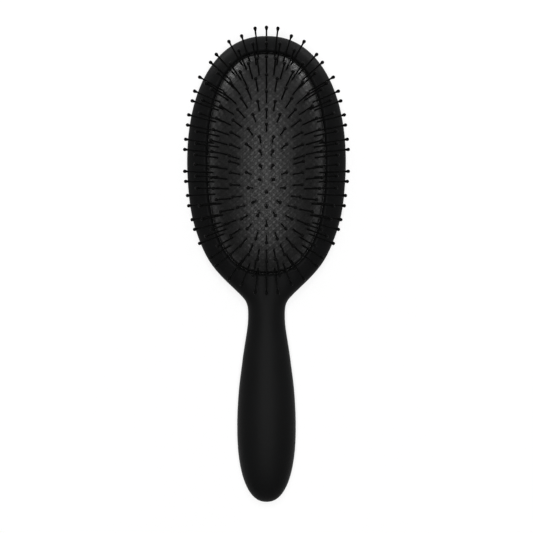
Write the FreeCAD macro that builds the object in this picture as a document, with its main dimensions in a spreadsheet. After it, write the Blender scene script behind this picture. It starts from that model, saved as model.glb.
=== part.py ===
import FreeCAD, Part
import math
import os

# Cushioned detangling brush, lying on its back with the pins up.
# Origin: centre of the flat land under the head. +Y runs to the crown, -Y along the handle, +Z up.

V = FreeCAD.Vector
doc = FreeCAD.newDocument("DetanglingBrush")

# Driving sizes, in millimetres.
SIZES = [
    ("head_half_width", 37.9, "half the head's width, at its widest"),
    ("crown_reach", 61.1, "head centre to the crown"),
    ("neck_reach", 74.0, "head centre to the neck, its narrowest place"),
    ("bulge_reach", 125.5, "head centre to the grip's widest place"),
    ("handle_reach", 161.5, "head centre to the handle's end"),
    ("neck_half_width", 8.8, "half the neck's width"),
    ("grip_half_width", 14.0, "half the grip's width"),
    ("parting_height", 9.0, "height of the joint between the two shells"),
    ("head_back_depth", 9.3, "head below the joint, before the land is cut"),
    ("neck_back_depth", 6.4, "neck below the joint"),
    ("grip_back_depth", 9.0, "grip below the joint"),
    ("head_front_depth", 9.0, "head above the joint, across the opening"),
    ("neck_front_depth", 7.1, "neck above the joint"),
    ("grip_front_depth", 11.0, "grip above the joint"),
    ("crown_back_run", 31.0, "length over which the back rounds up to the crown"),
    ("crown_front_run", 21.0, "length over which the rim rounds down to the crown"),
    ("head_taper_start", 20.0, "head centre to where the head starts to thin"),
    ("head_taper_end", 64.0, "head centre to where the neck's thickness is reached"),
    ("shell_wall", 2.2, "wall of both shells"),
    ("handle_room_start", 67.0, "head centre to the start of the front shell's hollow"),
    ("opening_half_width", 27.9, "half the opening's width"),
    ("opening_half_length", 52.6, "half the opening's length"),
    ("rim_round", 1.4, "round on the opening's edge"),
    ("ledge_height", 13.4, "height of the rim's underside, where the cushion's flange seats"),
    ("flange_width", 3.8, "flange beyond the opening"),
    ("rib_wall", 2.0, "seat rib's wall in the back shell"),
    ("seat_clearance", 0.15, "play around what drops into the head"),
    ("dome_clearance", 0.2, "play between the dome and the opening"),
    ("dome_height", 12.5, "cushion's crown above the ledge"),
    ("facing_thickness", 0.35, "woven facing"),
    ("membrane_thickness", 1.2, "rubber cushion"),
    ("backing_thickness", 0.4, "backing sheet behind the pins' heads"),
    ("glue_gap", 0.05, "glue line between layers"),
    ("head_room", 1.5, "space between cushion and backing for the pins' heads"),
    ("pin_reach", 18.0, "pin's end above the facing, with its tip"),
    ("pin_diameter", 0.8, "pin's shaft"),
    ("pin_head_diameter", 1.5, "pin's flat head"),
    ("pin_head_thickness", 0.5, "pin's flat head"),
    ("pin_head_gap", 0.12, "play between a pin's head and the cushion"),
    ("hole_clearance", 0.06, "radial play of a pin in its hole"),
    ("tip_diameter", 1.65, "ball tip"),
    ("tip_length", 2.6, "ball tip with its tapered foot"),
    ("peg_place_near", 97.0, "head centre to the first locating peg"),
    ("peg_place_far", 142.0, "head centre to the second locating peg"),
    ("boss_diameter", 6.5, "boss that carries a peg or its socket"),
    ("peg_diameter", 3.0, "locating peg"),
    ("peg_height", 3.0, "locating peg above the joint"),
    ("peg_clearance", 0.05, "radial play of a peg in its socket"),
    ("socket_spare", 0.5, "socket's depth beyond the peg"),
    ("vent_diameter", 1.6, "air vent in the back shell"),
    ("vent_place", 46.0, "head centre to the air vent"),
    ("overrun", 2.0, "how far a cutting tool runs past what it cuts"),
]
sheet = doc.addObject("Spreadsheet::Sheet", "Sizes")
for row, (alias, value, meaning) in enumerate(SIZES, start=1):
    sheet.set(f"A{row}", alias)
    sheet.set(f"B{row}", str(value))
    sheet.setAlias(f"B{row}", alias)
    sheet.set(f"C{row}", meaning)
doc.recompute()


def size(alias):
    return float(getattr(sheet, alias))


# Shape exponents: 2 is an ellipse, more is squarer.
HEAD_SQUARENESS = 2.22
TIP_SQUARENESS = 2.3
SECTION_SQUARENESS = 2.3
PAD_SQUARENESS = 2.4
ROUND_STEPS = 9
ACROSS_STEPS = 12
PAD_STEPS = 20
# A pin is turned about its own axis, so that no hole's seam lies on a centre line of the pad.
SEAM_TURN = 35
# How near an edge lies to the opening's wall, as a share of the way from the middle, to count as on it.
WALL_SHARE = 0.004

# Head to neck: share of the way down to the neck, and share of the widening from neck to head.
SHOULDER_SHARES = [
    (0.169, 0.979), (0.336, 0.921), (0.492, 0.801), (0.646, 0.605), (0.750, 0.378),
    (0.827, 0.175), (0.859, 0.095), (0.882, 0.048), (0.901, 0.024), (0.926, 0.007),
    (0.959, 0.0), (1.0, 0.0),
]
# Neck to grip: share of the way to the bulge, and share of the widening.
GRIP_SHARES = [
    (0.10, 0.09), (0.22, 0.275), (0.33, 0.445), (0.44, 0.585), (0.55, 0.73),
    (0.66, 0.847), (0.78, 0.935), (0.89, 0.985), (1.0, 1.0),
]


def rounded(share, squareness):
    """Height of a unit superellipse at a share of its run."""
    return max(1 - min(share, 1) ** squareness, 0) ** (1 / squareness)


def eased(share):
    """Smooth step from 0 to 1."""
    share = min(max(share, 0), 1)
    return share * share * (3 - 2 * share)


def signed_power(value, power):
    return math.copysign(abs(value) ** power, value)


def quarter_turns(steps):
    return [math.pi / 2 * step / steps for step in range(steps + 1)]


# Outline of the body, seen from the front, as pairs of place along Y and half width.
def body_outline(inset):
    head = size("head_half_width") - inset
    crown = size("crown_reach") - inset
    neck = size("neck_half_width") - inset
    grip = size("grip_half_width") - inset
    end_run = size("handle_reach") - size("bulge_reach") - inset
    power = 2 / HEAD_SQUARENESS
    outline = []
    for turn in reversed(quarter_turns(ROUND_STEPS)):
        half_width = head * max(math.cos(turn), 0) ** power if turn < math.pi / 2 else 0
        outline.append((crown * math.sin(turn) ** power, half_width))
    for along_share, width_share in SHOULDER_SHARES:
        outline.append((-size("neck_reach") * along_share, neck + (head - neck) * width_share))
    grip_run = size("bulge_reach") - size("neck_reach")
    for along_share, width_share in GRIP_SHARES:
        outline.append((-size("neck_reach") - grip_run * along_share, neck + (grip - neck) * width_share))
    power = 2 / TIP_SQUARENESS
    for turn in quarter_turns(ROUND_STEPS)[1:]:
        half_width = grip * max(math.cos(turn), 0) ** power if turn < math.pi / 2 else 0
        outline.append((-size("bulge_reach") - end_run * math.sin(turn) ** power, half_width))
    return outline


def body_depth(along, side, inset):
    """Depth of the body from the joint, on its back or front side, at a place along Y."""
    head = size(f"head_{side}_depth") - inset
    neck = size(f"neck_{side}_depth") - inset
    grip = size(f"grip_{side}_depth") - inset
    crown_run = size(f"crown_{side}_run")
    if along > -size("head_taper_start"):
        past = along - (size("crown_reach") - crown_run)
        return head * rounded(max(past, 0) / (crown_run - inset), SECTION_SQUARENESS)
    if along > -size("neck_reach"):
        taper_run = size("head_taper_end") - size("head_taper_start")
        return head + (neck - head) * eased((-along - size("head_taper_start")) / taper_run)
    if along > -size("bulge_reach"):
        grip_run = size("bulge_reach") - size("neck_reach")
        return neck + (grip - neck) * eased((-along - size("neck_reach")) / grip_run)
    end_run = size("handle_reach") - size("bulge_reach") - inset
    return grip * rounded((-along - size("bulge_reach")) / end_run, TIP_SQUARENESS)


def closed_form(rows):
    """Solid between a smooth skin through rows of points and the flat face that closes it."""
    surface = Part.BSplineSurface()
    surface.interpolate(rows)
    skin = surface.toShape()
    rim = [edge for edge in skin.Edges if not edge.Degenerated]
    lid = Part.Face(Part.Wire(rim))
    form = Part.Solid(Part.makeShell([skin, lid]))
    if not form.isValid() or form.Volume < 0:
        form = Part.Solid(Part.makeShell([skin, lid.reversed()]))
    return form


def body_form(side, inset):
    """Half of the body on one side of the joint, drawn in by an inset."""
    direction = 1 if side == "front" else -1
    power = 2 / SECTION_SQUARENESS
    rows = []
    for along, half_width in body_outline(inset):
        depth = body_depth(along, side, inset) if half_width else 0
        row = []
        for step in range(ACROSS_STEPS + 1):
            turn = math.pi * step / ACROSS_STEPS
            rise = 0 if step in (0, ACROSS_STEPS) else depth * math.sin(turn) ** power
            row.append(V(half_width * signed_power(math.cos(turn), power), along,
                         size("parting_height") + direction * rise))
        rows.append(row)
    return closed_form(rows)


# The pad's dome: a superellipse in plan, an ellipse in height.
def dome_share(across, along, inset):
    """Share of the way from the dome's middle to its edge."""
    half_width = size("opening_half_width") - size("dome_clearance") - inset
    half_length = size("opening_half_length") - size("dome_clearance") - inset
    total = abs(across / half_width) ** PAD_SQUARENESS + abs(along / half_length) ** PAD_SQUARENESS
    return total ** (1 / PAD_SQUARENESS)


def dome_rise(across, along, inset):
    share = min(dome_share(across, along, inset), 1)
    return (size("dome_height") - inset) * math.sqrt(1 - share * share)


def dome_form(inset):
    half_width = size("opening_half_width") - size("dome_clearance") - inset
    half_length = size("opening_half_length") - size("dome_clearance") - inset
    power = 2 / PAD_SQUARENESS
    rows = []
    for step in range(PAD_STEPS + 1):
        turn = math.pi * (0.5 - step / PAD_STEPS)
        along = half_length * signed_power(math.sin(turn), power)
        reach = 0 if step in (0, PAD_STEPS) else half_width * math.cos(turn) ** power
        row = []
        for stride in range(ACROSS_STEPS + 1):
            across = reach * math.cos(math.pi * stride / ACROSS_STEPS)
            rise = 0 if stride in (0, ACROSS_STEPS) else dome_rise(across, along, inset)
            row.append(V(across, along, size("ledge_height") + rise))
        rows.append(row)
    return closed_form(rows)


def dome_core(inset, bottom):
    """Dome with a straight skirt that runs down to a height."""
    dome = dome_form(inset)
    lid = [face for face in dome.Faces if isinstance(face.Surface, Part.Plane)][0]
    skirt = lid.extrude(V(0, 0, bottom - size("ledge_height")))
    return dome.fuse(skirt)


def oval_face(half_width, half_length, height):
    """Flat superellipse face around the pad's middle."""
    power = 2 / PAD_SQUARENESS
    points = []
    for step in range(2 * PAD_STEPS):
        turn = math.pi * step / PAD_STEPS
        points.append(V(half_width * signed_power(math.cos(turn), power),
                        half_length * signed_power(math.sin(turn), power), height))
    curve = Part.BSplineCurve()
    curve.interpolate(points, PeriodicFlag=True)
    return Part.Face(Part.Wire([curve.toShape()]))


def oval_block(growth, bottom, top):
    """Upright block on the opening's outline, grown by a width."""
    face = oval_face(size("opening_half_width") + growth, size("opening_half_length") + growth, bottom)
    return face.extrude(V(0, 0, top - bottom))


def opening_share(across, along):
    """Share of the way from the pad's middle to the opening's wall."""
    total = abs(across / size("opening_half_width")) ** PAD_SQUARENESS
    total += abs(along / size("opening_half_length")) ** PAD_SQUARENESS
    return total ** (1 / PAD_SQUARENESS)


def opening_edges(shape):
    """Numbers of the edges where the opening's wall breaks out through the rim's top."""
    found = []
    for number, edge in enumerate(shape.Edges, start=1):
        middle = edge.valueAt((edge.FirstParameter + edge.LastParameter) / 2)
        on_wall = abs(opening_share(middle.x, middle.y) - 1) < WALL_SHARE
        on_top = middle.z > size("ledge_height") + size("rim_round")
        if on_wall and on_top and edge.Length > size("rim_round"):
            found.append(number)
    return found


def add_feature(label, shape):
    part = doc.addObject("Part::Feature", label)
    part.Label = label
    part.Shape = shape
    return part


def add_cylinder(label, radius, height, place, drop):
    """Upright cylinder on the centre line, with its sizes bound to the sheet."""
    part = doc.addObject("Part::Cylinder", label)
    part.Label = label
    part.setExpression("Radius", radius)
    part.setExpression("Height", height)
    part.setExpression("Placement.Base.y", place)
    part.setExpression("Placement.Base.z", drop)
    return part


def add_cut(label, base, tool):
    part = doc.addObject("Part::Cut", label)
    part.Label = label
    part.Base = base
    part.Tool = tool
    return part


def add_joined(kind, label, pieces):
    part = doc.addObject(f"Part::{kind}", label)
    part.Label = label
    part.Shapes = pieces
    return part


# Body shells: outer and inner forms of each half.
wall = size("shell_wall")
parting = size("parting_height")
ledge = size("ledge_height")
back_form = add_feature("back_form", body_form("back", 0))
back_room = add_feature("back_room", body_form("back", wall))
front_form = add_feature("front_form", body_form("front", 0))
front_room = add_feature("front_room", body_form("front", wall))

# Box that keeps what is above the land's height.
above_land = doc.addObject("Part::Box", "above_land")
above_land.setExpression("Length", "2 * (Sizes.head_half_width + Sizes.overrun)")
above_land.setExpression("Width", "Sizes.crown_reach + Sizes.handle_reach + 2 * Sizes.overrun")
above_land.setExpression("Height", "Sizes.parting_height + Sizes.head_front_depth + Sizes.grip_front_depth")
above_land.setExpression("Placement.Base.x", "-Sizes.head_half_width - Sizes.overrun")
above_land.setExpression("Placement.Base.y", "-Sizes.handle_reach - Sizes.overrun")

# Box around the handle, where the front shell is hollow.
handle_zone = doc.addObject("Part::Box", "handle_zone")
handle_zone.setExpression("Length", "2 * Sizes.grip_half_width")
handle_zone.setExpression("Width", "Sizes.handle_reach - Sizes.handle_room_start")
handle_zone.setExpression("Height", "Sizes.grip_front_depth + Sizes.overrun")
handle_zone.setExpression("Placement.Base.x", "-Sizes.grip_half_width")
handle_zone.setExpression("Placement.Base.y", "-Sizes.handle_reach")
handle_zone.setExpression("Placement.Base.z", "Sizes.parting_height")

# Seat rib: an oval wall in the back shell that carries the cushion's ring.
rib_outer = add_feature("rib_outer", oval_block(size("flange_width") - size("seat_clearance"), 0, parting))
rib_inner = add_feature("rib_inner", oval_block(size("flange_width") - size("seat_clearance")
                                                - size("rib_wall"), 0, parting))
rib_blank = add_cut("rib_blank", rib_outer, rib_inner)
seat_rib = add_joined("MultiCommon", "seat_rib", [rib_blank, back_form])

# Locating pegs on bosses in the back shell, and their sockets in the front shell.
back_bosses = []
pegs = []
front_bosses = []
sockets = []
for which in ("near", "far"):
    place = f"-Sizes.peg_place_{which}"
    back_bosses.append(add_cylinder(f"back_boss_{which}", "Sizes.boss_diameter / 2",
                                    "Sizes.parting_height", place, "0"))
    pegs.append(add_cylinder(f"peg_{which}", "Sizes.peg_diameter / 2",
                             "Sizes.parting_height / 2 + Sizes.peg_height", place,
                             "Sizes.parting_height / 2"))
    front_bosses.append(add_cylinder(f"front_boss_{which}", "Sizes.boss_diameter / 2",
                                     "Sizes.grip_front_depth", place, "Sizes.parting_height"))
    sockets.append(add_cylinder(f"socket_{which}", "Sizes.peg_diameter / 2 + Sizes.peg_clearance",
                                "Sizes.peg_height + Sizes.socket_spare + Sizes.overrun", place,
                                "Sizes.parting_height - Sizes.overrun"))

# Back shell.
back_hollow = add_cut("back_hollow", back_form, back_room)
back_boss_pair = add_joined("MultiFuse", "back_boss_pair", back_bosses)
back_boss_fit = add_joined("MultiCommon", "back_boss_fit", [back_boss_pair, back_form])
back_joined = add_joined("MultiFuse", "back_joined", [back_hollow, seat_rib, back_boss_fit] + pegs)
back_landed = add_joined("MultiCommon", "back_landed", [back_joined, above_land])
vent = add_cylinder("vent", "Sizes.vent_diameter / 2", "Sizes.parting_height + Sizes.overrun",
                    "-Sizes.vent_place", "-Sizes.overrun")
back_shell = add_cut("back_shell", back_landed, vent)

# Front shell: the rim round the opening, and the front of the handle.
well = add_feature("well", oval_block(size("flange_width"), parting - size("overrun"), ledge))
opening_top = parting + size("head_front_depth") + size("overrun")
opening = add_feature("opening", oval_block(0, parting, opening_top))
handle_room = add_joined("MultiCommon", "handle_room", [front_room, handle_zone])
front_rooms = add_joined("MultiFuse", "front_rooms", [well, opening, handle_room])
front_hollow = add_cut("front_hollow", front_form, front_rooms)
front_boss_pair = add_joined("MultiFuse", "front_boss_pair", front_bosses)
front_boss_fit = add_joined("MultiCommon", "front_boss_fit", [front_boss_pair, front_form])
front_joined = add_joined("MultiFuse", "front_joined", [front_hollow, front_boss_fit])
front_sockets = add_joined("MultiFuse", "front_sockets", sockets)
front_sharp = add_cut("front_sharp", front_joined, front_sockets)

doc.recompute()
front_shell = doc.addObject("Part::Fillet", "front_shell")
front_shell.Label = "front_shell"
front_shell.Base = front_sharp
front_shell.Edges = [(number, size("rim_round"), size("rim_round"))
                     for number in opening_edges(front_sharp.Shape)]

# Pad layers, from the outside in. Each has a dome and a flange under the rim's ledge.
seat_growth = size("flange_width") - size("seat_clearance")


def pad_layer(dome_inset, flange_top, thickness):
    bottom = flange_top - thickness
    outside = dome_core(dome_inset, bottom)
    inside = dome_core(dome_inset + thickness, bottom - size("overrun"))
    flange = oval_block(seat_growth, bottom, flange_top)
    return outside.fuse(flange).cut(inside)


facing_top = ledge
membrane_inset = size("facing_thickness") + size("glue_gap")
membrane_top = ledge - membrane_inset
backing_inset = membrane_inset + size("membrane_thickness") + size("head_room")
backing_top = membrane_top - size("membrane_thickness") - size("glue_gap")
facing_blank = add_feature("facing_blank", pad_layer(0, facing_top, size("facing_thickness")))
membrane_blank = add_feature("membrane_blank",
                             pad_layer(membrane_inset, membrane_top, size("membrane_thickness")))
pin_backing = add_feature("pin_backing", pad_layer(backing_inset, backing_top, size("backing_thickness")))

# Ring on the seat rib that holds the layers' flanges up against the ledge.
ring_top = backing_top - size("backing_thickness") - size("glue_gap")
ring_outer = add_feature("ring_outer", oval_block(seat_growth, parting, ring_top))
ring_inner = add_feature("ring_inner", oval_block(-size("dome_clearance") - backing_inset
                                                  - size("backing_thickness") + size("rib_wall"),
                                                  parting - size("overrun"), ring_top + size("overrun")))
cushion_ring = add_cut("cushion_ring", ring_outer, ring_inner)

# Where the pins stand, ring by ring from the middle: shares of the opening's half width and half length.
# Each place is mirrored across both centre lines. A share of zero lies on a centre line.
PIN_SHARES = {
    "1": [(0.083, 0.058), (0.095, 0.170), (0.256, 0.115), (0, 0.270), (0.237, 0.237)],
    "2": [(0.181, 0.351), (0, 0.387), (0.463, 0.023), (0.452, 0.115), (0.120, 0.454),
          (0.445, 0.213), (0.423, 0.309), (0.368, 0.392)],
    "3": [(0, 0.529), (0.325, 0.480), (0.255, 0.556), (0.146, 0.631)],
    "4": [(0, 0.660), (0.562, 0.423), (0.671, 0.065), (0.671, 0.154), (0.646, 0.240),
          (0.612, 0.329), (0.520, 0.521), (0.448, 0.603)],
    "5": [(0.336, 0.682), (0.235, 0.744), (0.124, 0.779), (0, 0.794), (0.648, 0.553)],
    "6": [(0.438, 0.741), (0.775, 0.371), (0.741, 0.473), (0.573, 0.674), (0.691, 0.599),
          (0.337, 0.832), (0.810, 0.232), (0.818, 0.134), (0.826, 0.040)],
    "7": [(0.174, 0.877), (0, 0.881), (0.910, 0.091), (0.901, 0.173), (0.881, 0.285),
          (0.865, 0.364), (0.825, 0.470), (0.794, 0.542), (0.733, 0.643), (0.619, 0.746),
          (0.555, 0.799)],
    "8": [(0.418, 0.880), (0.288, 0.915), (0.139, 0.954), (0, 0.959)],
}


def mirrored(across, along):
    sides = (1, -1) if across else (1,)
    ends = (1, -1) if along else (1,)
    return [(side * across, end * along) for side in sides for end in ends]


def pin_seat(across, along):
    """Placement on the facing with its own Z along the dome's outward normal."""
    half_width = size("opening_half_width") - size("dome_clearance")
    half_length = size("opening_half_length") - size("dome_clearance")
    share = dome_share(across, along, 0)
    rise = dome_rise(across, along, 0)
    steepness = share ** (2 - PAD_SQUARENESS)
    lean_across = signed_power(across / half_width, PAD_SQUARENESS - 1) / half_width
    lean_along = signed_power(along / half_length, PAD_SQUARENESS - 1) / half_length
    normal = V(steepness * lean_across, steepness * lean_along, rise / size("dome_height") ** 2)
    lean = FreeCAD.Rotation(V(0, 0, 1), normal)
    turned = FreeCAD.Rotation(V(0, 0, 1), SEAM_TURN)
    return FreeCAD.Placement(V(across, along, ledge + rise), lean.multiply(turned))


def ring_seats(ring):
    seats = []
    for across_share, along_share in PIN_SHARES[ring]:
        places = mirrored(across_share * size("opening_half_width"),
                          along_share * size("opening_half_length"))
        seats.extend(pin_seat(across, along) for across, along in places)
    return seats


def placed_copies(shape, seats):
    copies = []
    for seat in seats:
        copy = shape.copy()
        copy.Placement = seat.multiply(shape.Placement)
        copies.append(copy)
    return Part.makeCompound(copies)


# One pin and its head, and the clearance hole, each along its own Z from the facing's outside.
layers_depth = "Sizes.facing_thickness + Sizes.glue_gap + Sizes.membrane_thickness"
head_depth = f"({layers_depth} + Sizes.pin_head_gap + Sizes.pin_head_thickness)"
pin_shaft = doc.addObject("Part::Cylinder", "pin_shaft")
pin_shaft.setExpression("Radius", "Sizes.pin_diameter / 2")
pin_shaft.setExpression("Height", f"Sizes.pin_reach - Sizes.tip_length + {head_depth}")
pin_shaft.setExpression("Placement.Base.z", f"-{head_depth}")
pin_head = doc.addObject("Part::Cylinder", "pin_head")
pin_head.setExpression("Radius", "Sizes.pin_head_diameter / 2")
pin_head.setExpression("Height", "Sizes.pin_head_thickness")
pin_head.setExpression("Placement.Base.z", f"-{head_depth}")
pin = add_joined("MultiFuse", "pin", [pin_shaft, pin_head])
pin_hole = doc.addObject("Part::Cylinder", "pin_hole")
pin_hole.setExpression("Radius", "Sizes.pin_diameter / 2 + Sizes.hole_clearance")
pin_hole.setExpression("Height", "2 * Sizes.membrane_thickness + 2 * Sizes.overrun")
pin_hole.setExpression("Placement.Base.z", "-2 * Sizes.membrane_thickness - Sizes.overrun")
doc.recompute()


def tip_shape():
    """Ball tip on a cone that starts at the shaft's own width, on the shaft's end."""
    foot = size("pin_reach") - size("tip_length")
    ball = size("tip_diameter") / 2
    centre = size("pin_reach") - ball
    shaft = size("pin_diameter") / 2
    # The cone's side touches the ball where its slope meets the ball's.
    distance = math.hypot(shaft, centre - foot)
    slope = math.asin(ball / distance) - math.atan2(shaft, centre - foot)
    touch = V(ball * math.cos(slope), 0, centre - ball * math.sin(slope))
    middle_turn = (math.pi / 2 - slope) / 2
    middle = V(ball * math.cos(middle_turn), 0, centre + ball * math.sin(middle_turn))
    top = V(0, 0, size("pin_reach"))
    base = V(0, 0, foot)
    start = V(shaft, 0, foot)
    profile = Part.Wire([
        Part.LineSegment(base, start).toShape(),
        Part.LineSegment(start, touch).toShape(),
        Part.Arc(touch, middle, top).toShape(),
        Part.LineSegment(top, base).toShape(),
    ])
    return Part.Face(profile).revolve(V(0, 0, 0), V(0, 0, 1), 360)


tip = add_feature("tip", tip_shape())

# Pins, tips and holes, ring by ring.
pin_rings = []
tip_rings = []
all_seats = []
for ring in PIN_SHARES:
    seats = ring_seats(ring)
    all_seats.extend(seats)
    pin_rings.append(add_feature(f"pins_ring_{ring}", placed_copies(pin.Shape, seats)))
    tip_rings.append(add_feature(f"tips_ring_{ring}", placed_copies(tip.Shape, seats)))
pin_holes = add_feature("pin_holes", placed_copies(pin_hole.Shape, all_seats))
cushion_facing = add_cut("cushion_facing", facing_blank, pin_holes)
cushion = add_cut("cushion", membrane_blank, pin_holes)
doc.recompute()

# Check everything, then write one file for each sub-part.
sub_parts = [back_shell, front_shell, cushion_ring, cushion, cushion_facing, pin_backing]
sub_parts += pin_rings + tip_rings
for part in doc.Objects:
    if "Invalid" in part.State or "Error" in part.State:
        raise RuntimeError(f"{part.Label} failed: {part.State}")
os.makedirs("parts", exist_ok=True)
for part in sub_parts:
    if part.Shape.isNull() or not part.Shape.isValid() or part.Shape.Volume <= 0:
        raise RuntimeError(f"{part.Label} has no valid shape")
    part.Shape.exportStep(f"parts/{part.Label}.step")
    print(part.Label, len(part.Shape.Solids), round(part.Shape.Volume, 2))
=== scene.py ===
import math

import bmesh
import bpy
import numpy as np
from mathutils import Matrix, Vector


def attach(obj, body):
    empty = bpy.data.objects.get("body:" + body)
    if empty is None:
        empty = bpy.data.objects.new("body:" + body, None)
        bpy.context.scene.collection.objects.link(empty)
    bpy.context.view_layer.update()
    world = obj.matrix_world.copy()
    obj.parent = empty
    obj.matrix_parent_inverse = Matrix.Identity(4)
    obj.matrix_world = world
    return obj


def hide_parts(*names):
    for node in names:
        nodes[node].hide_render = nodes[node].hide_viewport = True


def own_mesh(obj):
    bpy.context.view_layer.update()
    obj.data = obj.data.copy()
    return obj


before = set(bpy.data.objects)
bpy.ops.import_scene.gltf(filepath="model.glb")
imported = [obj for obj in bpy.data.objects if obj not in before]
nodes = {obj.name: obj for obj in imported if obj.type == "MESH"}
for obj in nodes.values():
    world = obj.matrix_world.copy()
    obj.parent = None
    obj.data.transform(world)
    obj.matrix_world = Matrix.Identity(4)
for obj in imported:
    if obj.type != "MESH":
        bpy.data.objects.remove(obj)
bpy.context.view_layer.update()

MM = 0.001

# Sizes of the pad, repeated from the part's source, in millimetres.
LEDGE = 13.4
DOME_HEIGHT = 12.5
DOME_HALF_WIDTH = 27.7
DOME_HALF_LENGTH = 52.4
FLANGE_HALF_WIDTH = 31.55
FLANGE_HALF_LENGTH = 56.25
PAD_SQUARENESS = 2.4
FACING = 0.35
RUBBER_INSET, RUBBER_TOP, RUBBER = 0.4, 13.0, 1.2
BACKING_INSET, BACKING_TOP, BACKING = 3.1, 11.75, 0.4
PIN_HEAD_DEPTH = 2.22

# How the pad flattens: the leading ring's travel in millimetres, the height of its pins as a share
# of the dome's, and how many times the travel the backing sinks, to stay clear of the pins' heads.
TRAVEL = 5.0
LEAD_SHARE = 0.968
BACKING_LEAD = 1.15

# Dimples in the facing round the pins, in millimetres.
DIMPLE_DEPTH = 0.16
DIMPLE_REACH = 0.95

# Joint line between the shells, in millimetres: its height, how far from there it is dark, and where it ends.
JOINT_HEIGHT = 9.0
JOINT_DARK = 0.05
JOINT_END = 0.22

# The weave of the facing, in millimetres: its repeat across and along, and where one of its raised dots lies.
REPEAT_ACROSS = 3.5
REPEAT_ALONG = 3.22
DOT_ALONG = -2.8

# Pad meshes: the angle past which an edge stays sharp, and the steps that measure the outline between
# two of its points.
SHARP_ANGLE = math.radians(50)
MEASURING_STEPS = 40

# Levels of the floor and surround, where 1 is full white: the background, what the lamps give on the floor
# under the brush, and the light that comes from the horizon and from overhead.
WHITE = 0.985
FLOOR_UNDER_LAMPS = 0.249
HORIZON_LIGHT = 0.95
OVERHEAD_LIGHT = 0.02

# Floor: how fast the lamps' light falls off on it, per square metre, its half width in metres,
# and how far it lies under the brush, in millimetres, so that the two never share a plane.
FLOOR_FALLOFF = 0.6
FLOOR_REACH = 3.0
FLOOR_DROP = 0.02


# Shader helpers.
def new_material(name):
    material = bpy.data.materials.new(name)
    material.use_nodes = True
    tree = material.node_tree
    return material, tree, tree.nodes["Principled BSDF"]


def set_input(tree, socket, value):
    """Links another node's output to a socket, or sets a plain value on it."""
    if isinstance(value, bpy.types.NodeSocket):
        tree.links.new(value, socket)
    else:
        socket.default_value = value


def add_node(tree, kind, inputs=None, **settings):
    made = tree.nodes.new(kind)
    for name, value in settings.items():
        setattr(made, name, value)
    for name, value in (inputs or {}).items():
        set_input(tree, made.inputs[name], value)
    return made


def maths(tree, operation, first, second=0.0, third=0.0):
    return add_node(tree, "ShaderNodeMath", {0: first, 1: second, 2: third}, operation=operation).outputs[0]


def vector_maths(tree, operation, inputs, output="Vector"):
    return add_node(tree, "ShaderNodeVectorMath", inputs, operation=operation).outputs[output]


def weighted_sum(tree, parts):
    """The sum of pairs of a value and its weight."""
    total = 0.0
    for value, weight in parts:
        total = maths(tree, "MULTIPLY_ADD", value, weight, total)
    return total


def smooth_step(tree, value, low, high):
    """0 below low, 1 above high, with an eased way between them."""
    made = add_node(tree, "ShaderNodeMapRange",
                    {"Value": value, "From Min": low, "From Max": high, "To Min": 0.0, "To Max": 1.0},
                    interpolation_type="SMOOTHSTEP")
    return made.outputs["Result"]


def scaled(tree, value, low, high):
    """A value from 0 to 1, spread from low to high."""
    made = add_node(tree, "ShaderNodeMapRange",
                    {"Value": value, "From Min": 0.0, "From Max": 1.0, "To Min": low, "To Max": high})
    return made.outputs["Result"]


def noise(tree, where, scale, detail=3.0, roughness=0.5):
    """Noise with about as many blotches as scale says in one unit of where."""
    made = add_node(tree, "ShaderNodeTexNoise",
                    {"Vector": where, "Scale": scale, "Detail": detail, "Roughness": roughness})
    return made.outputs["Fac"]


def blend_colours(tree, share, first, second):
    made = add_node(tree, "ShaderNodeMix", data_type="RGBA")
    for name, kind, value in (("Factor", "VALUE", share), ("A", "RGBA", first), ("B", "RGBA", second)):
        socket = next(s for s in made.inputs if s.name == name and s.type == kind)
        set_input(tree, socket, value)
    return next(s for s in made.outputs if s.type == "RGBA")


def bump(tree, height, distance, strength=1.0, below=None):
    inputs = {"Height": height, "Distance": distance, "Strength": strength}
    if below is not None:
        inputs["Normal"] = below
    return add_node(tree, "ShaderNodeBump", inputs).outputs["Normal"]


def grey(level, warmth=0.0):
    return (level * (1 + warmth), level, level * (1 - warmth), 1.0)


def object_place(tree):
    return tree.nodes.new("ShaderNodeTexCoord").outputs["Object"]


def link_surface(tree, shader, colour, roughness, normal):
    tree.links.new(colour, shader.inputs["Base Color"])
    tree.links.new(roughness, shader.inputs["Roughness"])
    tree.links.new(normal, shader.inputs["Normal"])


# Soft-touch black of the body: a fine pebble, faint patches, a few paler specks, and the shells' joint line.
def body_material():
    material, tree, shader = new_material("soft_touch_black")
    place = object_place(tree)
    pebble = noise(tree, place, 5200.0, 2.0, 0.6)
    patches = noise(tree, place, 55.0, 3.0, 0.55)
    specks = smooth_step(tree, noise(tree, place, 2400.0, 4.0, 0.7), 0.66, 0.76)
    height = add_node(tree, "ShaderNodeSeparateXYZ", {"Vector": place}).outputs["Z"]
    off_joint = maths(tree, "ABSOLUTE", maths(tree, "SUBTRACT", height, JOINT_HEIGHT * MM))
    joint = smooth_step(tree, off_joint, JOINT_DARK * MM, JOINT_END * MM)
    ground = blend_colours(tree, patches, grey(0.0064, -0.02), grey(0.008, -0.02))
    ground = blend_colours(tree, maths(tree, "MULTIPLY", specks, 0.35), ground, grey(0.011, -0.02))
    colour = blend_colours(tree, joint, grey(0.0012), ground)
    pebbled = bump(tree, pebble, 0.006 * MM, 0.8)
    grooved = bump(tree, joint, 0.14 * MM, 1.0, pebbled)
    link_surface(tree, shader, colour, scaled(tree, patches, 0.44, 0.5), grooved)
    shader.inputs["Specular IOR Level"].default_value = 0.034
    return material


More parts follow.
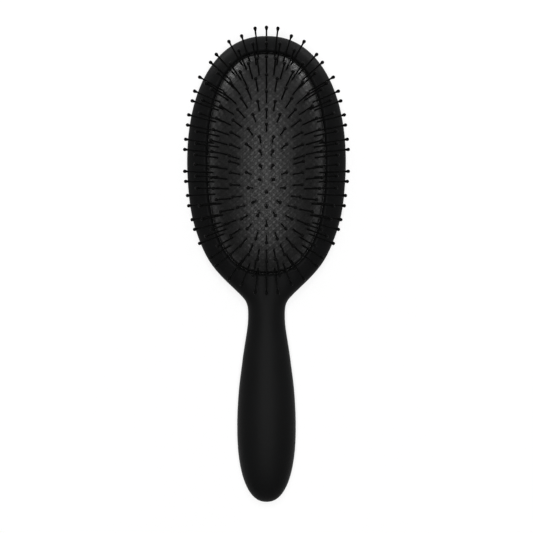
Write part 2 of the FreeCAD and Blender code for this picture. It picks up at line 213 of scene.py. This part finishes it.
def ring_material():
    material, tree, shader = new_material("moulded_grey_black")
    place = object_place(tree)
    grain = noise(tree, place, 1800.0, 3.0, 0.6)
    flow = noise(tree, place, 90.0, 2.0, 0.5)
    colour = blend_colours(tree, flow, grey(0.018), grey(0.028))
    link_surface(tree, shader, colour, scaled(tree, flow, 0.42, 0.58), bump(tree, grain, 0.012 * MM))
    return material


def rubber_material():
    material, tree, shader = new_material("black_rubber")
    place = object_place(tree)
    bloom = noise(tree, place, 60.0, 4.0, 0.6)
    grain = noise(tree, place, 3000.0, 2.0, 0.6)
    colour = blend_colours(tree, bloom, grey(0.014), grey(0.03))
    link_surface(tree, shader, colour, scaled(tree, bloom, 0.6, 0.78), bump(tree, grain, 0.01 * MM))
    return material


def backing_material():
    material, tree, shader = new_material("pressed_fibre")
    place = object_place(tree)
    stretched = add_node(tree, "ShaderNodeMapping", {"Vector": place, "Scale": (1.0, 0.25, 1.0)}).outputs[0]
    fibres = noise(tree, stretched, 2600.0, 5.0, 0.75)
    cloud = noise(tree, place, 140.0, 3.0, 0.5)
    shade = weighted_sum(tree, ((cloud, 0.3), (fibres, 0.7)))
    colour = blend_colours(tree, shade, grey(0.11, 0.02), grey(0.27, 0.03))
    link_surface(tree, shader, colour, scaled(tree, fibres, 0.85, 0.98), bump(tree, fibres, 0.06 * MM))
    return material


def wandering(tree, cloth):
    """The cloth's coordinates, moved a little off their straight lines."""
    wander = add_node(tree, "ShaderNodeTexNoise", {"Vector": cloth, "Scale": 0.22, "Detail": 2.0})
    shift = vector_maths(tree, "SUBTRACT", {0: wander.outputs["Color"], 1: (0.5, 0.5, 0.5)})
    shift = vector_maths(tree, "SCALE", {0: shift, "Scale": 0.55})
    return vector_maths(tree, "ADD", {0: cloth, 1: shift})


# The facing: dark threads that cross on the diagonals, with a lattice of lighter raised dots.
def facing_material():
    material, tree, shader = new_material("woven_facing")
    flat = add_node(tree, "ShaderNodeAttribute", attribute_name="weave").outputs["Vector"]
    cloth = wandering(tree, flat)
    parts = add_node(tree, "ShaderNodeSeparateXYZ", {"Vector": cloth})
    across = maths(tree, "DIVIDE", parts.outputs["X"], REPEAT_ACROSS)
    along = maths(tree, "DIVIDE", maths(tree, "SUBTRACT", parts.outputs["Y"], DOT_ALONG), REPEAT_ALONG)
    rising = maths(tree, "SUBTRACT", across, along)
    falling = maths(tree, "ADD", across, along)

    def wave(phase, turns):
        return maths(tree, "COSINE", maths(tree, "MULTIPLY", phase, 2 * math.pi * turns))

    dots = maths(tree, "MULTIPLY", maths(tree, "ADD", wave(rising, 1), wave(falling, 1)), 0.5)
    dots = smooth_step(tree, dots, -0.3, 1.0)
    twill = maths(tree, "MULTIPLY_ADD", wave(rising, 2), 0.5, 0.5)
    threads = maths(tree, "MULTIPLY", wave(rising, 4), wave(falling, 4))
    threads = maths(tree, "MULTIPLY_ADD", threads, 0.5, 0.5)
    worn = smooth_step(tree, noise(tree, cloth, 0.09, 3.0, 0.6), 0.3, 0.7)
    fuzz = smooth_step(tree, noise(tree, cloth, 1.9, 3.0, 0.7), 0.36, 0.64)
    shade = weighted_sum(tree, ((dots, 0.3), (twill, 0.09), (threads, 0.2), (worn, 0.05), (fuzz, 0.42)))
    shade = smooth_step(tree, shade, 0.2, 0.85)
    relief = weighted_sum(tree, ((dots, 1.0), (threads, 0.35), (twill, 0.3), (fuzz, 0.12)))
    colour = blend_colours(tree, shade, grey(0.0002), grey(0.015, 0.005))
    link_surface(tree, shader, colour, scaled(tree, shade, 0.62, 0.33), bump(tree, relief, 0.1 * MM, 0.5))
    shader.inputs["Specular IOR Level"].default_value = 0.3
    return material


def pin_material():
    material, tree, shader = new_material("satin_nylon")
    streaks = noise(tree, object_place(tree), 700.0, 3.0, 0.6)
    colour = blend_colours(tree, streaks, grey(0.0044), grey(0.0076))
    link_surface(tree, shader, colour, scaled(tree, streaks, 0.42, 0.55), bump(tree, streaks, 0.004 * MM))
    shader.inputs["Specular IOR Level"].default_value = 0.03
    return material


# The tips have nearly no gloss, because a glossier one shows a light ring over the dark rim.
def tip_material():
    material, tree, shader = new_material("dipped_resin")
    flow = noise(tree, object_place(tree), 420.0, 2.0, 0.5)
    colour = blend_colours(tree, flow, grey(0.0042), grey(0.0064))
    link_surface(tree, shader, colour, scaled(tree, flow, 0.24, 0.36), bump(tree, flow, 0.01 * MM))
    shader.inputs["Specular IOR Level"].default_value = 0.008
    return material


# Pins: where each leaves the facing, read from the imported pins.
def separate_pins(mesh):
    """The points of each pin of a mesh that holds several, in millimetres."""
    working = bmesh.new()
    working.from_mesh(mesh)
    bmesh.ops.remove_doubles(working, verts=working.verts, dist=1e-6)
    pins = []
    unseen = set(working.verts)
    while unseen:
        front = [unseen.pop()]
        pin = []
        while front:
            point = front.pop()
            pin.append(point.co.copy())
            for edge in point.link_edges:
                other = edge.other_vert(point)
                if other in unseen:
                    unseen.remove(other)
                    front.append(other)
        pins.append(np.array(pin) / MM)
    working.free()
    return pins


def seat_of(points):
    """Where a pin leaves the facing: up its axis from the lowest point of its head."""
    middle = points.mean(axis=0)
    axis = np.linalg.svd(points - middle)[2][0]
    axis = axis * np.sign(axis[2])
    lowest = ((points - middle) @ axis).min()
    return middle + (lowest + PIN_HEAD_DEPTH) * axis


# Pad layers: a closed skin over the dome, with a flange under the rim.
def pad_outline(turns):
    """Places on the pad's outline at some turns, as shares of its half width and half length."""
    def squarer(values):
        return np.sign(values) * np.abs(values) ** (2 / PAD_SQUARENESS)

    return squarer(np.cos(turns)), squarer(np.sin(turns))


def even_outline(count):
    """Places on the pad's outline, evenly spaced along the dome's edge."""
    turns = np.linspace(0, 2 * math.pi, MEASURING_STEPS * count + 1)
    across, along = pad_outline(turns)
    strides = np.hypot(np.diff(DOME_HALF_WIDTH * across), np.diff(DOME_HALF_LENGTH * along))
    length = np.concatenate([[0], np.cumsum(strides)])
    return pad_outline(np.interp(np.linspace(0, length[-1], count + 1)[:-1], length, turns))


def layer_rows(inset, flange_top, thickness, around, steps):
    """Rows of points from the dome's top out to the flange and back along the inside."""
    across, along = even_outline(around)

    def row(half_width, half_length, height):
        return np.stack([half_width * across, half_length * along, np.full(around, height)], axis=1)

    def dome_row(drawn_in, tilt):
        share = math.sin(tilt)
        return row((DOME_HALF_WIDTH - drawn_in) * share, (DOME_HALF_LENGTH - drawn_in) * share,
                   LEDGE + (DOME_HEIGHT - drawn_in) * math.cos(tilt))

    tilts = [math.pi / 2 * step / steps for step in range(1, steps + 1)]
    bottom = flange_top - thickness
    rows = [dome_row(inset, tilt) for tilt in tilts]
    if flange_top < LEDGE:
        rows.append(row(DOME_HALF_WIDTH - inset, DOME_HALF_LENGTH - inset, flange_top))
    rows.append(row(FLANGE_HALF_WIDTH, FLANGE_HALF_LENGTH, flange_top))
    rows.append(row(FLANGE_HALF_WIDTH, FLANGE_HALF_LENGTH, bottom))
    drawn_in = inset + thickness
    rows.append(row(DOME_HALF_WIDTH - drawn_in, DOME_HALF_LENGTH - drawn_in, bottom))
    rows.extend(dome_row(drawn_in, tilt) for tilt in reversed(tilts))
    return rows


def dimpled(points, seats):
    """Points of the dome's outside, drawn in a little round each pin."""
    across = points[:, 0] / DOME_HALF_WIDTH
    along = points[:, 1] / DOME_HALF_LENGTH
    up = (points[:, 2] - LEDGE) / DOME_HEIGHT
    share = (np.abs(across) ** PAD_SQUARENESS + np.abs(along) ** PAD_SQUARENESS) ** (1 / PAD_SQUARENESS)
    steep = np.maximum(share, 1e-6) ** (2 - PAD_SQUARENESS)
    normal = np.stack([
        steep * np.sign(across) * np.abs(across) ** (PAD_SQUARENESS - 1) / DOME_HALF_WIDTH,
        steep * np.sign(along) * np.abs(along) ** (PAD_SQUARENESS - 1) / DOME_HALF_LENGTH,
        up / DOME_HEIGHT,
    ], axis=1)
    normal /= np.linalg.norm(normal, axis=1)[:, None]
    drawn = np.zeros(len(points))
    for seat in seats:
        away = np.linalg.norm(points - seat, axis=1) / DIMPLE_REACH
        drawn = np.maximum(drawn, DIMPLE_DEPTH * np.exp(-away * away))
    return points - normal * drawn[:, None]


def skin_faces(around, row_count):
    """Faces from a point on top, over rows of points that go round, to a last point inside."""
    faces = []
    last_row = 1 + (row_count - 1) * around
    for step in range(around):
        after = (step + 1) % around
        faces.append((0, 1 + step, 1 + after))
        for row in range(row_count - 1):
            low = 1 + row * around
            faces.append((low + step, low + around + step, low + around + after, low + after))
        faces.append((last_row + step, last_row + around, last_row + after))
    return faces


def cloth_coordinates(top, rows, edge):
    """Flat coordinates of each point, in millimetres along the surface from the pad's middle."""
    around = len(edge)
    heading = edge[:, :2] / np.linalg.norm(edge[:, :2], axis=1)[:, None]
    length = np.zeros(around)
    before = np.repeat(top, around, axis=0)
    flat = [np.zeros((1, 3))]
    for here in rows:
        length = length + np.linalg.norm(here - before, axis=1)
        before = here
        flat.append(np.column_stack([heading * length[:, None], np.zeros(around)]))
    flat.append(np.zeros((1, 3)))
    return np.concatenate(flat).astype(np.float32)


def add_object(name, data, place=(0.0, 0.0, 0.0)):
    made = bpy.data.objects.new(name, data)
    made.location = place
    bpy.context.scene.collection.objects.link(made)
    return made


def pad_layer(name, inset, flange_top, thickness, around, steps, seats=None):
    """One layer of the pad, with dimples where its outside has seats of pins."""
    rows = layer_rows(inset, flange_top, thickness, around, steps)
    if seats is not None:
        above_foot = steps - 1
        outside = dimpled(np.concatenate(rows[:above_foot]), seats)
        rows[:above_foot] = np.split(outside, above_foot)
    top = np.array([[0, 0, LEDGE + DOME_HEIGHT - inset]])
    inner_top = top - [[0, 0, thickness]]
    points = np.concatenate([top, *rows, inner_top])
    mesh = bpy.data.meshes.new(name)
    mesh.from_pydata((points * MM).tolist(), [], skin_faces(around, len(rows)))
    mesh.shade_smooth()
    mesh.set_sharp_from_angle(angle=SHARP_ANGLE)
    weave = mesh.attributes.new("weave", "FLOAT_VECTOR", "POINT")
    weave.data.foreach_set("vector", cloth_coordinates(top, rows, rows[steps - 1]).ravel())
    return add_object(name, mesh)


def give(thing, material):
    if thing.material_slots:
        for place in thing.material_slots:
            place.material = material
    else:
        thing.data.materials.append(material)


pin_nodes = sorted(name for name in nodes if name.startswith("pins_ring_"))
seats = [seat_of(points) for name in pin_nodes for points in separate_pins(nodes[name].data)]
facing = pad_layer("pad_facing", 0.0, LEDGE, FACING, around=420, steps=96, seats=seats)
rubber = pad_layer("pad_rubber", RUBBER_INSET, RUBBER_TOP, RUBBER, around=240, steps=48)
backing = pad_layer("pad_backing", BACKING_INSET, BACKING_TOP, BACKING, around=200, steps=40)
give(facing, facing_material())
give(rubber, rubber_material())
give(backing, backing_material())

# Each pad layer is attached to the brush's body, its imported node is hidden, and it gets its own mesh; the
# facing and rubber would flatten towards the ledge and the backing towards its own flange, but no flattening
# is set up here.
pad_kept = 1 - TRAVEL / (LEAD_SHARE * DOME_HEIGHT)
backing_rise = LEDGE + DOME_HEIGHT - BACKING_INSET - BACKING_TOP
backing_kept = 1 - BACKING_LEAD * TRAVEL / backing_rise
for piece, node_name, slot, foot, kept in (
    (facing, "cushion_facing", "cloth", LEDGE, pad_kept),
    (rubber, "cushion", "rubber", LEDGE, pad_kept),
    (backing, "pin_backing", "backing", BACKING_TOP, backing_kept),
):
    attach(piece, "brush")
    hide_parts(node_name)
    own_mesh(piece)

body_finish = body_material()
pin_finish = pin_material()
tip_finish = tip_material()
give(nodes["back_shell"], body_finish)
give(nodes["front_shell"], body_finish)
give(nodes["cushion_ring"], ring_material())
for name, thing in nodes.items():
    if name.startswith("pins_ring_"):
        give(thing, pin_finish)
    if name.startswith("tips_ring_"):
        give(thing, tip_finish)


def background_rays(tree):
    """1 for the rays that show the background: the camera's, and those in gloss and glass."""
    rays = tree.nodes.new("ShaderNodeLightPath")
    seen = maths(tree, "MAXIMUM", rays.outputs["Is Camera Ray"], rays.outputs["Is Glossy Ray"])
    return maths(tree, "MAXIMUM", seen, rays.outputs["Is Transmission Ray"])


# Floor: grey, and lifted to white for the background's rays alone, with the brush's own soft shadow.
# The lift grows with distance, about as the lamps' light on the floor falls off.
def floor_material():
    material, tree, shader = new_material("pale_floor")
    place = object_place(tree)
    shade = noise(tree, place, 6.0, 2.0, 0.5)
    tree.links.new(blend_colours(tree, shade, grey(0.3), grey(0.31)), shader.inputs["Base Color"])
    shader.inputs["Roughness"].default_value = 0.9
    shader.inputs["Specular IOR Level"].default_value = 0.0
    away = vector_maths(tree, "LENGTH", {0: place}, "Value")
    spread = maths(tree, "MULTIPLY_ADD", maths(tree, "MULTIPLY", away, away), FLOOR_FALLOFF, 1.0)
    from_lamps = maths(tree, "DIVIDE", FLOOR_UNDER_LAMPS, maths(tree, "MULTIPLY", spread, spread))
    lift = maths(tree, "SUBTRACT", WHITE, from_lamps)
    lift = maths(tree, "MULTIPLY", background_rays(tree), lift)
    glow = add_node(tree, "ShaderNodeEmission", {"Color": (1, 1, 1, 1), "Strength": lift})
    both = add_node(tree, "ShaderNodeAddShader", {0: shader.outputs[0], 1: glow.outputs[0]})
    tree.links.new(both.outputs[0], tree.nodes["Material Output"].inputs["Surface"])
    return material


floor_mesh = bpy.data.meshes.new("floor")
floor_corners = [(x * FLOOR_REACH, y * FLOOR_REACH, 0) for x, y in ((-1, -1), (1, -1), (1, 1), (-1, 1))]
floor_mesh.from_pydata(floor_corners, [], [(0, 1, 2, 3)])
floor = add_object("floor", floor_mesh, (0.0, 0.0, -FLOOR_DROP * MM))
give(floor, floor_material())


# Surround: white at the horizon, where it meets the floor, and dim overhead.
# The background's rays see the white reach higher than it lights.
def add_surround():
    world = bpy.data.worlds.new("surround")
    bpy.context.scene.world = world
    world.use_nodes = True
    tree = world.node_tree
    background = tree.nodes["Background"]
    background.inputs["Color"].default_value = (1, 1, 1, 1)
    direction = tree.nodes.new("ShaderNodeTexCoord").outputs["Generated"]
    climb = add_node(tree, "ShaderNodeSeparateXYZ", {"Vector": direction}).outputs["Z"]
    lighting = scaled(tree, smooth_step(tree, climb, 0.02, 0.08), HORIZON_LIGHT, OVERHEAD_LIGHT)
    shown = scaled(tree, smooth_step(tree, climb, 0.12, 0.3), WHITE, 0.0)
    shown = maths(tree, "MULTIPLY", background_rays(tree), shown)
    tree.links.new(maths(tree, "MAXIMUM", lighting, shown), background.inputs["Strength"])


add_surround()


def add_lamp(name, place, aim, width, length, power):
    light = bpy.data.lights.new(name, "AREA")
    light.shape = "RECTANGLE"
    light.size, light.size_y = width, length
    light.energy = power
    made = add_object(name, light, place)
    made.rotation_euler = (Vector(aim) - Vector(place)).to_track_quat("-Z", "Y").to_euler()


# Lamps: a broad soft one above, and two low ones beyond the crown that light its edges.
add_lamp("above", place=(0.0, -0.04, 1.3), aim=(0.0, -0.06, 0.0), width=0.38, length=1.3, power=15.6)
for name, side in (("crown_left", -1), ("crown_right", 1)):
    add_lamp(name, place=(0.62 * side, 0.8, 0.1), aim=(0.0, 0.02, 0.02), width=0.4, length=0.18, power=6.0)

# Camera: straight above, where the photograph was taken from.
camera_data = bpy.data.cameras.new("camera")
camera_data.sensor_width = 36.0
camera_data.lens = 89.4
camera_data.clip_start = 0.01
camera = add_object("camera", camera_data, (0.0, -0.04904, 0.642))
bpy.context.scene.camera = camera
bpy.context.scene.view_settings.view_transform = "Standard"
